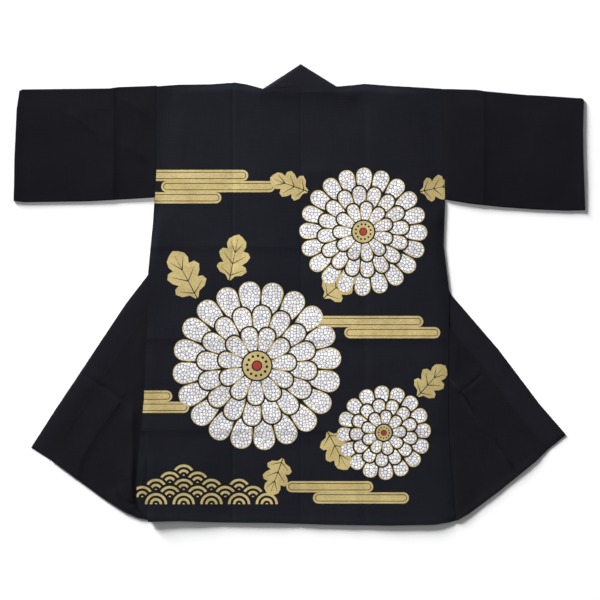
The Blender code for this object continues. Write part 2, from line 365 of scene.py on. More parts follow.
class HeightField:
    """The upper face of a solid as heights on a grid, softened so that no facet shows.

    The cloth is thinner than the solid's wall and settles on what lies under it, so that each
    height above the first wall is a little less than the solid's.
    """

    def __init__(self, solid: Solid, spread: float = 0.0, blur: float = 14.0) -> None:
        """Casts rays down on the solid and softens what they meet.

        Args:
            solid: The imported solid.
            spread: How far each high place is carried sideways before it is softened.
            blur: How far the heights are softened.
        """
        tree = BVHTree.FromPolygons(solid.corners.tolist(), solid.triangles.tolist())
        self.low = solid.corners.min(0)[:2] - FIELD_STEP
        high = solid.corners.max(0) + FIELD_STEP
        columns, rows = (int((high[k] - self.low[k]) / FIELD_STEP) + 2 for k in range(2))
        grid = np.full((columns, rows), np.nan)
        for i, j in np.ndindex(columns, rows):
            at = Vector((self.low[0] + i * FIELD_STEP, self.low[1] + j * FIELD_STEP, high[2]))
            hit = tree.ray_cast(at, Vector((0.0, 0.0, -1.0)))[0]
            if hit is not None:
                grid[i, j] = hit.z
        settled = WALL + (self.filled(grid) - SOLID_WALL) * SETTLE
        self.grid = self.softened(self.carried(settled, spread), blur)

    @staticmethod
    def filled(grid: Rows) -> Rows:
        """Gives each empty place the mean of its neighbours, outward from the solid."""
        while np.isnan(grid).any():
            wide = np.pad(grid, 1, constant_values=np.nan)
            around = np.stack([wide[:-2, 1:-1], wide[2:, 1:-1], wide[1:-1, :-2], wide[1:-1, 2:]])
            known = ~np.isnan(around)
            total = np.where(known, around, 0.0).sum(0)
            mean = total / np.maximum(known.sum(0), 1)
            grid = np.where(np.isnan(grid) & known.any(0), mean, grid)
        return grid

    @staticmethod
    def shifted(grid: Rows, reach: int, axis: int) -> list[Rows]:
        """Lists the grid moved along one side by each whole step up to reach."""
        padding = [(reach, reach) if k == axis else (0, 0) for k in range(2)]
        wide = np.pad(grid, padding, mode="edge")
        count = grid.shape[axis]
        return [np.take(wide, range(k, k + count), axis=axis) for k in range(2 * reach + 1)]

    @staticmethod
    def carried(grid: Rows, spread: float) -> Rows:
        """Carries each high place sideways, so that softening doesn't sink it."""
        for axis in range(2):
            grid = np.max(HeightField.shifted(grid, round(spread / FIELD_STEP), axis), axis=0)
        return grid

    @staticmethod
    def softened(grid: Rows, blur: float) -> Rows:
        """Blurs the heights along both sides of the grid."""
        reach = math.ceil(2.5 * blur / FIELD_STEP)
        weights = np.exp(-0.5 * (np.arange(-reach, reach + 1) * FIELD_STEP / blur) ** 2)
        weights /= weights.sum()
        for axis in range(2):
            moved = HeightField.shifted(grid, reach, axis)
            grid = sum(weight * layer for weight, layer in zip(weights, moved))
        return grid

    def at(self, points: Rows) -> Rows:
        """Reads the height under each point, between the four nearest places of the grid."""
        place = (points - self.low) / FIELD_STEP
        cell = np.clip(place.astype(int), 0, np.array(self.grid.shape) - 2)
        u, v = np.clip(place - cell, 0.0, 1.0).T
        i, j = cell.T
        g = self.grid
        near = g[i, j] * (1 - u) + g[i + 1, j] * u
        far = g[i, j + 1] * (1 - u) + g[i + 1, j + 1] * u
        return near * (1 - v) + far * v


@dataclass(frozen=True)
class Crease:
    """A pressed line in the cloth."""

    line: Places
    rise: float
    left: float
    right: float
    fold: Fold = Fold.VALLEY
    fade: float = 0.0
    phase: float = 0.0
    reach: float = 0.0

    def lift(self, points: Rows) -> Rows:
        """Says how far the crease lifts the cloth at each point."""
        distance, side, along = measured(wandering(points), on_plane(self.line))
        width = np.where(side > 0, self.left, self.right)
        steep = np.exp(-((distance / width) ** CREASE_POWER))
        uneven = wavering(along, 0.22, (61.0, 23.0), (self.phase, 2 * self.phase))
        if self.fade:
            whole = math.fsum(math.dist(a, b) for a, b in zip(self.line, self.line[1:]))
            uneven = uneven * eased(np.minimum(along, whole - along) / self.fade)
        if self.fold is Fold.RIDGE:
            return self.rise * uneven * steep
        spread = self.reach or CREASE_SPREAD * width
        return self.rise * uneven * (1.0 - steep) * np.exp(-((distance / spread) ** 2))

    def crest(self) -> list[Rows]:
        """Lists the lines of points that carry the crease in a mesh."""
        line = divided(on_plane(self.line), CREST_STEP)
        line = line - (wandering(line) - line)
        across = left_hand(np.gradient(line, axis=0))
        return [line + across * offset for offset in CREST_OFFSETS]


@dataclass(frozen=True)
class Slack:
    """The low swell of cloth that has been smoothed out by hand: a few broad waves."""

    rise: float
    seed: int
    shortest: float = 85.0
    longest: float = 260.0
    waves: int = 12

    def lift(self, points: Rows) -> Rows:
        """Says how far the swell lifts the cloth at each point, from zero to the rise."""
        draw = np.random.default_rng(self.seed)
        total = np.zeros(len(points))
        for _ in range(self.waves):
            angle = draw.uniform(0, math.tau)
            length = draw.uniform(self.shortest, self.longest)
            phase = draw.uniform(0, math.tau)
            along = points @ np.array((math.cos(angle), math.sin(angle)))
            total += np.sin(along * math.tau / length + phase)
        return self.rise * (0.5 + 0.5 * np.tanh(total / math.sqrt(self.waves)))


@dataclass(frozen=True)
class Fade:
    """A lift at a line, or a dip where it is below zero, that dies away from the line."""

    rise: float
    reach: float

    def at(self, distance: Rows) -> Rows:
        """Gives the lift at each distance from the line."""
        return self.rise * np.exp(-distance / self.reach)


EDGE_ROLL = Fade(-0.035, 1.1)
SEAM_DIP = Fade(-0.14, 3.0)


@dataclass(frozen=True)
class Shape:
    """One printed shape: a closed outline in x and y, and its ink."""

    ink: Ink
    outline: Rows


def disc(centre: tuple[float, float] | Rows, radius: float, corners: int) -> Rows:
    """Draws a round shape.

    Args:
        centre: Its centre, across and down.
        radius: Its radius.
        corners: How many corners it has.
    Returns:
        Its outline in x and y.
    """
    angles = np.arange(corners) * math.tau / corners
    return on_plane((centre,)) + radius * np.column_stack((np.cos(angles), np.sin(angles)))


@dataclass(frozen=True)
class Bloom:
    """A chrysanthemum seen from the front: rings of white petals with gold edges.

    The petals' feet, their tips and the heart are shares of the radius, and the eye, the dots and
    their ring are shares of the heart.
    """

    centre: tuple[float, float]
    radius: float
    petals: tuple[int, ...] = (20, 16, 11)
    turn: float = 0.0
    edge: float = 1.7
    gap: float = 3.4
    feet: tuple[float, ...] = (0.60, 0.36, 0.17)
    tips: tuple[float, ...] = (1.0, 0.71, 0.46)
    shoulder: float = 0.70
    foot_width: float = 0.36
    heart: float = 0.17
    eye: float = 0.38
    red: float = 0.30
    dots: int = 12
    dot: float = 0.10
    dot_ring: float = 0.70

    def petal(self, inner: float, outer: float, half_width: float, angle: float) -> Rows:
        """Draws one petal, with a narrow foot and a round tip.

        Args:
            inner: The foot's distance from the bloom's centre.
            outer: The tip's distance from the bloom's centre.
            half_width: Half the petal's greatest width.
            angle: The petal's direction.
        Returns:
            The petal's outline in x and y.
        """
        shares = np.array((0.0, 0.14, 0.3, 0.5, self.shoulder, 0.79, 0.87, 0.93, 0.975, 1.0))
        swell = np.sin(math.pi / 2 * np.minimum(shares / self.shoulder, 1.0))
        body = self.foot_width + (1.0 - self.foot_width) * swell
        past = np.maximum(shares - self.shoulder, 0) / (1 - self.shoulder)
        widths = half_width * body * np.sqrt(np.maximum(1 - past ** 2, 0))
        half = np.column_stack((inner + (outer - inner) * shares, widths))
        return turned(np.vstack([half, half[-2::-1] * (1, -1)]), angle, self.centre)

    def shapes(self) -> list[Shape]:
        """Lists the bloom's shapes, each drawn over those before it."""
        made = []
        layers = ((Ink.CLOTH, self.edge + self.gap), (Ink.GOLD, self.edge), (Ink.WHITE, 0.0))
        for number, (count, foot, tip) in enumerate(zip(self.petals, self.feet, self.tips)):
            inner, outer = foot * self.radius, tip * self.radius
            widest = inner + self.shoulder * (outer - inner)
            half_width = math.pi * widest / count - self.edge - self.gap / 2
            for ink, margin in layers[number == 0:]:
                for k in range(count):
                    angle = self.turn + math.tau * (k + 0.5 * number) / count
                    outline = self.petal(inner - margin, outer + margin, half_width + margin, angle)
                    made.append(Shape(ink, outline))
        heart = self.heart * self.radius
        for ink, size in ((Ink.CLOTH, heart + self.gap), (Ink.GOLD, heart),
                          (Ink.CLOTH, self.eye * heart), (Ink.RED, self.red * heart)):
            made.append(Shape(ink, disc(self.centre, size, 28)))
        for k in range(self.dots):
            angle = math.tau * k / self.dots + self.turn
            at = self.dot_ring * heart * np.array((math.cos(angle), math.sin(angle)))
            made.append(Shape(Ink.CLOTH, disc(self.centre + at, self.dot * heart, 8)))
        return made


@dataclass(frozen=True)
class MistBank:
    """A bank of mist as weavers draw it: level bars with round ends, each with a fine inner line.

    A bar is where its two round ends begin, across, and its middle line, down.
    """

    bars: tuple[tuple[float, float, float], ...]
    half_height: float = 12.5
    line_inset: float = 4.6
    line_width: float = 1.5

    def shapes(self) -> list[Shape]:
        """Lists the bank's shapes, each drawn over those before it."""
        made = []
        turn = np.linspace(-math.pi / 2, math.pi / 2, 9)
        line = self.line_inset
        for inset, ink in ((0.0, Ink.GOLD), (line, Ink.CLOTH), (line + self.line_width, Ink.GOLD)):
            bend = (self.half_height - inset) * np.column_stack((np.cos(turn), np.sin(turn)))
            for start, end, down in self.bars:
                outline = np.vstack([(end, down) + bend, (start, down) - bend])
                made.append(Shape(ink, on_plane(outline)))
        return made


@dataclass(frozen=True)
class Leaf:
    """A lobed gold leaf with dark veins. Its side and its veins are shares of its length."""

    foot: tuple[float, float]
    length: float
    angle: float
    side: Places = (
        (0.0, 0.03), (0.10, 0.10), (0.14, 0.24), (0.24, 0.33), (0.33, 0.29), (0.36, 0.20),
        (0.45, 0.29), (0.56, 0.34), (0.65, 0.28), (0.66, 0.17), (0.76, 0.21), (0.87, 0.19),
        (0.95, 0.10),
    )
    veins: tuple[Places, ...] = (
        ((0.0, 0.0), (0.90, 0.0)), ((0.10, 0.0), (0.25, 0.24)), ((0.36, 0.0), (0.56, 0.24)),
        ((0.60, 0.0), (0.83, 0.14)),
    )
    vein_foot: float = 1.1
    vein_tip: float = 0.35

    def shapes(self) -> list[Shape]:
        """Lists the leaf's shapes, each drawn over those before it."""
        side = np.array(self.side)
        outlines = [np.vstack([side, ((1.0, 0.0),), side[::-1] * (1, -1)]) * self.length]
        for vein in self.veins:
            for mirror in (1, -1) if vein[1][1] else (1,):
                a, b = np.array(vein) * (1, mirror) * self.length
                aside = left_hand((b - a)[None])[0]
                outlines.append(np.array((
                    a + aside * self.vein_foot, a - aside * self.vein_foot,
                    b - aside * self.vein_tip, b + aside * self.vein_tip,
                )))
        inks = [Ink.GOLD] + [Ink.CLOTH] * (len(outlines) - 1)
        return [Shape(ink, turned(outline, math.radians(self.angle), self.foot))
                for ink, outline in zip(inks, outlines)]


@dataclass(frozen=True)
class Waves:
    """Rows of overlapping half rings, the old wave pattern, in gold."""

    rows: tuple[tuple[float, float, int], ...]
    radius: float = 31.0
    rings: int = 5
    ring_share: float = 0.18
    gap: float = 0.4

    def shapes(self) -> list[Shape]:
        """Lists the waves' shapes, each drawn over those before it."""
        made = []
        angles = np.linspace(0.0, math.pi, 15)
        half = np.column_stack((np.cos(angles), -np.sin(angles)))
        for across, down, count in self.rows:
            for k in range(count):
                for number in range(self.rings + 1):
                    size = self.radius * (1.0 - number * self.ring_share) - self.gap
                    outline = np.array((across + 2 * self.radius * k, down)) + half * size
                    made.append(Shape(Ink.GOLD if number % 2 else Ink.CLOTH, on_plane(outline)))
        return made


@dataclass(frozen=True)
class PrintedDesign:
    """The print of the back: general flower, leaf, mist and wave motifs in an open layout."""

    motifs: tuple[MistBank | Waves | Leaf | Bloom, ...] = (
        MistBank(((-380, -130, 196), (-300, -70, 221), (-380, -190, 246))),
        MistBank(((40, 262, 523), (110, 300, 548))),
        MistBank(((-20, 150, 893), (40, 230, 918))),
        MistBank(((-390, -300, 690), (-390, -262, 715))),
        Waves(((-262, 868, 1), (-293, 884, 2), (-324, 900, 4), (-355, 916, 5), (-324, 932, 5))),
        Leaf((-232, 470), 118, 118), Leaf((-160, 430), 104, 78), Leaf((52, 470), 96, 40),
        Leaf((60, 770), 96, -62), Leaf((262, 690), 92, 48), Leaf((268, 232), 84, 12),
        Leaf((16, 232), 90, 160), Leaf((-40, 830), 88, -110),
        Bloom((-98, 622), 188, turn=0.1),
        Bloom((140, 322), 142, turn=0.3),
        Bloom((186, 772), 104, petals=(16, 13, 9), turn=0.05),
    )

    def shapes(self) -> tuple[Shape, ...]:
        """Lists every printed shape, each drawn over those before it."""
        return tuple(shape for motif in self.motifs for shape in motif.shapes())


class Plan:
    """Flat triangles over one or two outlines, with points along creases and printed shapes."""

    def __init__(self, outlines: list[Rows], creases: tuple[Crease, ...] = (),
                 shapes: tuple[Shape, ...] = ()) -> None:
        """Joins the outlines, the creases and the printed shapes in one set of triangles.

        Args:
            outlines: Closed outlines, each of which is a region.
            creases: Creases that get lines of points.
            shapes: Printed shapes, each drawn over those before it.
        """
        self.regions = len(outlines)
        rings = [self.boundary(outline) for outline in outlines]
        drawn = [(self.boundary(shape.outline), shape.ink) for shape in shapes]
        drawn = [(line, ink) for line, ink in drawn
                 if any(inside(line, outline).any() for outline in outlines)]
        printed = [line for line, _ in drawn]
        self.inks = [ink for _, ink in drawn]
        loose = [self.within(line, outlines, CREST_CLEARANCE)
                 for crease in creases for line in crease.crest()]
        loose += [self.rim(outline, distance) for outline in outlines for distance in EDGE_RINGS]
        loose.append(self.spread(outlines, np.vstack(rings + printed + loose), printed))
        self.join(rings + printed, np.vstack(loose))

    @staticmethod
    def boundary(outline: Rows) -> Rows:
        """Divides a closed outline closely, anticlockwise."""
        return divided(ring(anticlockwise(outline)), EDGE_STEP)[:-1]

    @staticmethod
    def within(points: Rows, outlines: list[Rows], clearance: float) -> Rows:
        """Keeps the points that are in an outline and clear of every edge."""
        kept = np.any([inside(points, outline) for outline in outlines], axis=0)
        return points[kept & (nearest(points, [ring(outline) for outline in outlines]) > clearance)]

    @staticmethod
    def rim(outline: Rows, distance: float) -> Rows:
        """Sets a row of points inside an outline, at an even distance from it."""
        line = ring(Plan.boundary(outline))
        points = (line[:-1] + line[1:]) / 2 + left_hand(np.diff(line, axis=0)) * distance
        clear = measured(points, ring(outline))[0] > RIM_SHARE * distance
        return points[clear & inside(points, outline)]

    @staticmethod
    def spread(outlines: list[Rows], fixed: Rows, edges: list[Rows]) -> Rows:
        """Fills the outlines with staggered rows of points, clear of what is there.

        Args:
            outlines: The regions.
            fixed: Points that are there already.
            edges: The edges of the printed shapes.
        Returns:
            The new points.
        """
        corners = np.vstack(outlines)
        low, high = corners.min(0), corners.max(0)
        rows = np.arange(low[1], high[1], FINE_STEP * math.sqrt(0.75))
        columns = np.arange(low[0], high[0], FINE_STEP)
        grid = np.array([
            (x + FINE_STEP / 2 * (k % 2), y) for k, y in enumerate(rows) for x in columns
        ])
        draw = np.random.default_rng(SCATTER_SEED)
        grid += draw.uniform(-SCATTER, SCATTER, grid.shape) * FINE_STEP
        grid = Plan.within(grid, outlines, EDGE_CLEARANCE)
        near = [(point, POINT_CLEARANCE * FINE_STEP) for point in fixed]
        near += [(point, PRINT_CLEARANCE) for edge in edges
                 for point in divided(ring(edge), PRINT_CLEARANCE)]
        tree = KDTree(len(near))
        for k, (point, _) in enumerate(near):
            tree.insert((*point, 0.0), k)
        tree.balance()
        found = (tree.find((*point, 0.0)) for point in grid)
        return grid[np.array([distance > near[k][1] for _, k, distance in found])]

    def join(self, faces: list[Rows], loose: Rows) -> None:
        """Makes the triangles.

        Args:
            faces: Closed outlines, the regions first and then the printed shapes.
            loose: Points that no outline holds.
        """
        snapped = np.round(np.vstack([*faces, loose]) / SNAP).astype(int)
        single, numbers = np.unique(snapped, axis=0, return_inverse=True)
        numbers = numbers.reshape(-1)
        rows, start = [], 0
        for face in faces:
            row = numbers[start:start + len(face)].tolist()
            start += len(face)
            rows.append([k for k, before in zip(row, [row[-1]] + row) if k != before])
        points = [Vector(point) for point in (single * SNAP).tolist()]
        result = delaunay_2d_cdt(points, [], rows, 0, 1e-5, True)
        self.points = np.array([tuple(point) for point in result[0]])
        self.triangles = result[2]
        self.owners = result[5]

    def region(self, number: int = 0) -> tuple[list[list[int]], list[int]]:
        """Lists the triangles of one region and the ink of each."""
        triangles, inks = [], []
        for triangle, owners in zip(self.triangles, self.owners):
            if number in owners:
                top = max(owners)
                triangles.append(list(triangle))
                inks.append(self.inks[top - self.regions].value if top >= self.regions else 0)
        return triangles, inks

    def chain(self, start: Rows, end: Rows) -> list[int]:
        """Lists the points on a straight edge, in order."""
        distance, _, along = measured(self.points, np.array([start, end]))
        near = np.nonzero(distance < 1.5 * SNAP)[0]
        return near[np.argsort(along[near])].tolist()


@dataclass
class Skin:
    """An open or closed skin: corners in millimetres, faces, and an ink for each face."""

    corners: list[tuple[float, float, float]] = field(default_factory=list)
    faces: list[list[int]] = field(default_factory=list)
    inks: list[int] = field(default_factory=list)
    numbers: dict[tuple[int, str], int] = field(default_factory=dict)

    def add_layer(self, plan: Plan, heights: Rows, layer: str, region: int = 0,
                  upward: bool = True) -> None:
        """Lays one region of a plan as a layer of the skin.

        Args:
            plan: The plan.
            heights: The height of each of the plan's points.
            layer: A name by which folds find the layer.
            region: The region's number.
            upward: False for a layer that looks down.
        """
        triangles, inks = plan.region(region)
        for triangle, ink in zip(triangles, inks):
            face = []
            for k in triangle:
                if (k, layer) not in self.numbers:
                    self.numbers[k, layer] = len(self.corners)
                    self.corners.append((*plan.points[k], heights[k]))
                face.append(self.numbers[k, layer])
            self.faces.append(face if upward else face[::-1])
            self.inks.append(ink if upward else 0)

    def add_bend(self, chain: list[int], bulge: Rows) -> None:
        """Joins the lower and the upper layer round an edge.

        Args:
            chain: The plan's points along the edge.
            bulge: The direction in which the bend stands out.
        """
        ribs = []
        for k in chain:
            if (k, "lower") not in self.numbers or (k, "upper") not in self.numbers:
                continue
            first, last = self.numbers[k, "lower"], self.numbers[k, "upper"]
            x, y, foot = self.corners[first]
            radius = (self.corners[last][2] - foot) / 2
            rib = [first]
            for step in range(1, BEND_STEPS):
                angle = math.pi * (step / BEND_STEPS - 0.5)
                reach = radius * math.cos(angle)
                rib.append(len(self.corners))
                self.corners.append((
                    x + bulge[0] * reach, y + bulge[1] * reach,
                    foot + radius + radius * math.sin(angle),
                ))
            ribs.append(rib + [last])
        for rib, following in zip(ribs, ribs[1:]):
            for step in range(BEND_STEPS):
                self.faces.append([rib[step], following[step], following[step + 1], rib[step + 1]])
                self.inks.append(0)

    def shell(self, name: str, materials: list[Material], wall: float) -> Object:
        """Makes a piece of cloth whose wall grows inward from the skin.

        Args:
            name: The piece's name.
            materials: The inks' materials in order, then the inner side's.
            wall: The thickness of the cloth, or zero for a skin that is closed already.
        Returns:
            The finished object.
        """
        mesh = bpy.data.meshes.new(name)
        mesh.from_pydata([tuple(v * MM for v in corner) for corner in self.corners], [], self.faces)
        for material in materials:
            mesh.materials.append(material)
        mesh.polygons.foreach_set("material_index", self.inks)
        turn_outward(mesh)
        piece = put(name, mesh)
        if wall:
            solidify = piece.modifiers.new("Wall", "SOLIDIFY")
            solidify.thickness = wall * MM
            solidify.use_even_offset = False
            solidify.material_offset = len(materials) - 1
        return plain_mesh(piece)


def put(name: str, data: ID) -> Object:
    """Makes an object of some data and links it to the scene."""
    made = bpy.data.objects.new(name, data)
    bpy.context.scene.collection.objects.link(made)
    return made


def turn_outward(mesh: Mesh) -> None:
    """Makes the faces of a skin look the same way, with its highest part looking up."""
    work = bmesh.new()
    work.from_mesh(mesh)
    bmesh.ops.recalc_face_normals(work, faces=work.faces)
    by_height = sorted(work.faces, key=lambda face: face.calc_center_median().z)
    highest = by_height[-len(by_height) // 20:]
    if sum(face.normal.z * face.calc_area() for face in highest) < 0:
        bmesh.ops.reverse_faces(work, faces=work.faces)
    work.to_mesh(mesh)
    work.free()


def plain_mesh(piece: Object) -> Object:
    """Applies a piece's modifiers and shades it smooth, with sharp edges where the wall turns."""
    graph = bpy.context.evaluated_depsgraph_get()
    final = bpy.data.meshes.new_from_object(piece.evaluated_get(graph))
    old = piece.data
    piece.modifiers.clear()
    piece.data = final
    bpy.data.meshes.remove(old)
    final.name = piece.name
    final.shade_smooth()
    final.set_sharp_from_angle(angle=math.radians(SHARP_ANGLE))
    return piece


def hex_to_linear(colour: str) -> tuple[float, float, float, float]:
    """Turns an sRGB hex colour into the linear colour that a shader takes."""
    parts = [int(colour[k:k + 2], 16) / 255 for k in (1, 3, 5)]
    linear = [p / 12.92 if p <= 0.04045 else ((p + 0.055) / 1.055) ** 2.4 for p in parts]
    return (*linear, 1.0)


def add_node(tree: NodeTree, kind: str, settings: dict | None = None,
             inputs: dict | None = None) -> Node:
    """Adds a node with its settings and links.

    Args:
        tree: The tree that gets the node.
        kind: The node's type.
        settings: The node's own properties.
        inputs: For each named or numbered input a value, a hex colour or another node's output.
    Returns:
        The node.
    """
    made = tree.nodes.new(kind)
    for name, value in (settings or {}).items():
        setattr(made, name, value)
    for name, value in (inputs or {}).items():
        if isinstance(value, NodeSocket):
            tree.links.new(value, made.inputs[name])
            continue
        made.inputs[name].default_value = hex_to_linear(value) if isinstance(value, str) else value
    return made


class Finish:
    """What every finish shares: a shader that takes the gloss of its fields and a pattern."""

    GLOSS = {
        "Roughness": "roughness", "Specular IOR Level": "specular",
        "Sheen Weight": "sheen", "Sheen Roughness": "sheen_roughness",
    }

    def material(self) -> Material:
        """Makes the material."""
        material = bpy.data.materials.new(self.name)
        material.use_nodes = True
        tree = material.node_tree
        shader = tree.nodes["Principled BSDF"]
        place = add_node(tree, "ShaderNodeTexCoord").outputs["Object"]
        for socket, output in self.pattern(tree, place).items():
            tree.links.new(output, shader.inputs[socket])
        for socket, size in self.GLOSS.items():
            if hasattr(self, size):
                shader.inputs[socket].default_value = getattr(self, size)
        return material


@dataclass(frozen=True)
class BlackCotton(Finish):
    """Piece-dyed cotton in a plain weave of uneven yarns: matt, with a faint bluish bloom.

    The yarns are drawn 1.3 mm apart, coarser than life, so that they show.
    """

    name: str
    dark: str
    light: str
    yarn: float = 1.3
    slub_width: float = 2.4
    slub_length: float = 60.0
    roughness: float = 0.9
    specular: float = 0.03
    sheen: float = 0.006
    sheen_roughness: float = 0.5

    def pattern(self, tree: NodeTree, place: NodeSocket) -> dict:
        """Lays yarns both ways, longer slubs, and slow changes in the dye.

        Args:
            tree: The material's tree.
            place: The place on the piece.
        Returns:
            The outputs for the shader's sockets.
        """
        dye = add_node(tree, "ShaderNodeTexNoise", inputs={
            "Vector": place, "Scale": 9.0, "Detail": 3.0, "Roughness": 0.55,
        })
        thin, long = 1 / (self.slub_width * MM), 1 / (self.slub_length * MM)
        slubs, yarns = [], []
        for way, scale in (("X", (thin, long, 1.0)), ("Y", (long, thin, 1.0))):
            drawn = add_node(tree, "ShaderNodeMapping", inputs={"Vector": place, "Scale": scale})
            slubs.append(add_node(tree, "ShaderNodeTexNoise", inputs={
                "Vector": drawn.outputs["Vector"], "Scale": 1.0, "Detail": 2.0,
            }).outputs["Fac"])
            yarns.append(add_node(tree, "ShaderNodeTexWave", {"bands_direction": way}, {
                "Vector": place, "Scale": 1 / (self.yarn * MM) / 3.18, "Distortion": 1.2,
                "Detail": 1.0, "Detail Scale": 1.0,
            }).outputs["Fac"])
        slub = add_node(tree, "ShaderNodeMath", {"operation": "ADD"}, dict(enumerate(slubs)))
        weave = add_node(tree, "ShaderNodeMath", {"operation": "MULTIPLY"}, dict(enumerate(yarns)))
        tone = add_node(tree, "ShaderNodeMapRange", inputs={
            "Value": slub.outputs[0], "From Min": 0.7, "From Max": 1.3, "To Max": 0.6,
        })
        cloud = add_node(tree, "ShaderNodeMath", {"operation": "MULTIPLY_ADD"},
                         {0: dye.outputs["Fac"], 1: 0.7, 2: tone.outputs[0]})
        woven = add_node(tree, "ShaderNodeMath", {"operation": "MULTIPLY_ADD", "use_clamp": True},
                         {0: weave.outputs[0], 1: 0.35, 2: cloud.outputs[0]})
        colour = add_node(tree, "ShaderNodeMix", {"data_type": "RGBA"},
                          {0: woven.outputs[0], 6: self.dark, 7: self.light})
        relief = add_node(tree, "ShaderNodeMath", {"operation": "MULTIPLY_ADD"},
                          {0: slub.outputs[0], 1: 0.6, 2: weave.outputs[0]})
        bump = add_node(tree, "ShaderNodeBump", inputs={
            "Height": relief.outputs[0], "Strength": 0.35, "Distance": 0.12 * MM,
        })
        return {"Base Color": colour.outputs[2], "Normal": bump.outputs["Normal"]}


@dataclass(frozen=True)
class PebblePrint(Finish):
    """White pigment laid on in small pebbles, with dark cloth, a little gold and a grey painted
    shade between them, and painted shade at each pebble's rim.
    """

    name: str
    white: str
    grey: str
    # The grey of the gaps between pebbles is painted shade.
    shade: str
    gold: str
    cloth: str
    pebble: float = 6.8
    roughness: float = 0.8
    specular: float = 0.25

    def pattern(self, tree: NodeTree, place: NodeSocket) -> dict:
        """Lays cells whose middles are white and whose gaps show gold, cloth and a grey painted
        shade.

        Args:
            tree: The material's tree.
            place: The place on the piece.
        Returns:
            The outputs for the shader's sockets.
        """
        flat = add_node(tree, "ShaderNodeVectorMath", {"operation": "MULTIPLY"},
                        {0: place, 1: (1.0, 1.0, 0.0)})
        laid = {"Vector": flat.outputs[0], "Scale": 1 / (self.pebble * MM), "Randomness": 0.9}
        cells, gaps = (
            add_node(tree, "ShaderNodeTexVoronoi",
                     {"feature": feature, "voronoi_dimensions": "2D"}, laid)
            for feature in ("F1", "DISTANCE_TO_EDGE")
        )
        # The second mask fades each pebble into its gap towards the cell's edge: partly the real gap
        # between pebbles, partly painted shade of the pebble's round rim.
        hollow, covered_with_rim_shade = (
            add_node(tree, "ShaderNodeMapRange", inputs={
                "Value": source.outputs["Distance"], "From Min": least, "From Max": most,
            }) for source, least, most in ((cells, 0.36, 0.64), (gaps, 0.0, 0.22))
        )
        lone = add_node(tree, "ShaderNodeSeparateColor", inputs={"Color": cells.outputs["Color"]})
        gilt = add_node(tree, "ShaderNodeMath", {"operation": "GREATER_THAN"},
                        {0: lone.outputs[1], 1: 0.6})
        pebble, shallow = (
            add_node(tree, "ShaderNodeMix", {"data_type": "RGBA"}, {0: share, 6: first, 7: second})
            for share, first, second in (
                (lone.outputs[0], self.grey, self.white), (gilt.outputs[0], self.shade, self.gold),
            )
        )
        between = add_node(tree, "ShaderNodeMix", {"data_type": "RGBA"},
                           {0: hollow.outputs[0], 6: shallow.outputs[2], 7: self.cloth})
        colour = add_node(tree, "ShaderNodeMix", {"data_type": "RGBA"},
                          {0: covered_with_rim_shade.outputs[0], 6: between.outputs[2], 7: pebble.outputs[2]})
        bump = add_node(tree, "ShaderNodeBump", inputs={
            "Height": covered_with_rim_shade.outputs[0], "Strength": 0.25, "Distance": 0.1 * MM,
        })
        return {"Base Color": colour.outputs[2], "Normal": bump.outputs["Normal"]}


@dataclass(frozen=True)
class PigmentPrint(Finish):
    """Pigment paste printed flat on the cloth: matt, and thinner where the yarns dip."""

    name: str
    colour: str
    thin: str
    grain: float = 2.2
    roughness: float = 0.7
    specular: float = 0.3

    def pattern(self, tree: NodeTree, place: NodeSocket) -> dict:
        """Lays an even colour with a fine speckle and slow wear.

        Args:
            tree: The material's tree.
            place: The place on the piece.
        Returns:
            The outputs for the shader's sockets.
        """
        speckle = add_node(tree, "ShaderNodeTexNoise", inputs={
            "Vector": place, "Scale": 1 / (self.grain * MM), "Detail": 3.0, "Roughness": 0.6,
        })
        wear = add_node(tree, "ShaderNodeTexNoise", inputs={
            "Vector": place, "Scale": 22.0, "Detail": 2.0,
        })
        mixed = add_node(tree, "ShaderNodeMath", {"operation": "MULTIPLY_ADD"},
                         {0: wear.outputs["Fac"], 1: 0.5, 2: speckle.outputs["Fac"]})
        thinned = add_node(tree, "ShaderNodeMapRange", inputs={
            "Value": mixed.outputs[0], "From Min": 0.62, "From Max": 0.98,
            "To Min": 0.75, "To Max": 0.0,
        })
        colour = add_node(tree, "ShaderNodeMix", {"data_type": "RGBA"},
                          {0: thinned.outputs[0], 6: self.colour, 7: self.thin})
        bump = add_node(tree, "ShaderNodeBump", inputs={
            "Height": speckle.outputs["Fac"], "Strength": 0.2, "Distance": 0.08 * MM,
        })
        return {"Base Color": colour.outputs[2], "Normal": bump.outputs["Normal"]}


@dataclass(frozen=True)
class FineGrain(Finish):
    """A matt surface of two close colours in a fine grain: twisted thread, or white paper."""

    name: str
    colour: str
    other: str
    scale: float
    roughness: float
    specular: float

    def pattern(self, tree: NodeTree, place: NodeSocket) -> dict:
        """Mixes the two colours by a noise."""
        grain = add_node(tree, "ShaderNodeTexNoise", inputs={"Vector": place, "Scale": self.scale})
        colour = add_node(tree, "ShaderNodeMix", {"data_type": "RGBA"},
                          {0: grain.outputs["Fac"], 6: self.colour, 7: self.other})
        return {"Base Color": colour.outputs[2]}


FINISHES = (
    # Each piece has its own copy of the one black cotton: the front's and the sleeve's are darker
    # than the back's, a painted shade for the dimmer light away from the middle of the coat.
    BlackCotton("black_cotton_back", "#121216", "#1A1B21"),
    BlackCotton("black_cotton_front", "#101014", "#16161B"),
    BlackCotton("black_cotton_sleeve", "#0F0F13", "#15151A"),
    BlackCotton("black_cotton_collar", "#121217", "#19191F"),
    BlackCotton("black_cotton_wrong_side", "#151518", "#1C1C20"),
    PebblePrint("white_pebble_print", "#F3F3F7", "#CBCAD1", "#868384", "#9A8A5E", "#3A3833"),
    PigmentPrint("gold_pigment_print", "#C4B27A", "#8E7C4C"),
    PigmentPrint("red_pigment_print", "#A8302A", "#7A2A28"),
    # Sewing cotton is a little glossier than the cloth, and its twist shows as a fine grain.
    FineGrain("black_sewing_thread", "#0B0B0E", "#121216", 1500.0, 0.8, 0.05),
)


